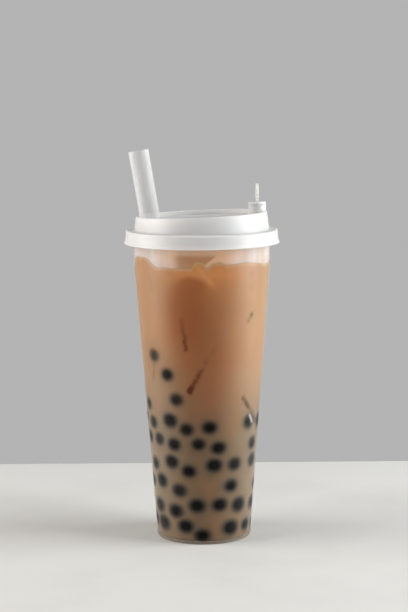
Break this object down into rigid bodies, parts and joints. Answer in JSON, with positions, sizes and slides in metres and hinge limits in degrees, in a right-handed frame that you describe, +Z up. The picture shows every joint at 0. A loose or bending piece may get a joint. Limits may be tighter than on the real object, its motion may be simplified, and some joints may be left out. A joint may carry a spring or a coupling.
{
  "type": "bubble tea",
  "caption": "Milk tea over tapioca pearls in a tall clear plastic cup, with a white press-on lid, a stoppered sipping spout and a wide leaning straw.",
  "frame": {"origin": "centre of the cup's foot, on the surface it stands on", "axes": "+Z up along the cup's axis, +X towards the sipping spout, -X towards the straw, the shown side faces -Y"},
  "size_m": [0.0954, 0.0954, 0.2407],
  "materials": {
    "clear_polypropylene": "clear, slightly hazy",
    "white_polypropylene": "moulded satin white",
    "white_stopper": "soft moulded white",
    "frosted_polypropylene": "frosted, translucent",
    "milk_tea": "opaque milky liquid",
    "tapioca": "dark glossy jelly"
  },
  "bodies": {
    "root": {"cup": "clear_polypropylene", "lid": "white_polypropylene", "stopper": "white_stopper", "straw": "frosted_polypropylene", "milk_tea": "milk_tea", "tea_in_straw": "milk_tea", "tapioca_pearls": "tapioca"}
  },
  "joints": []
}
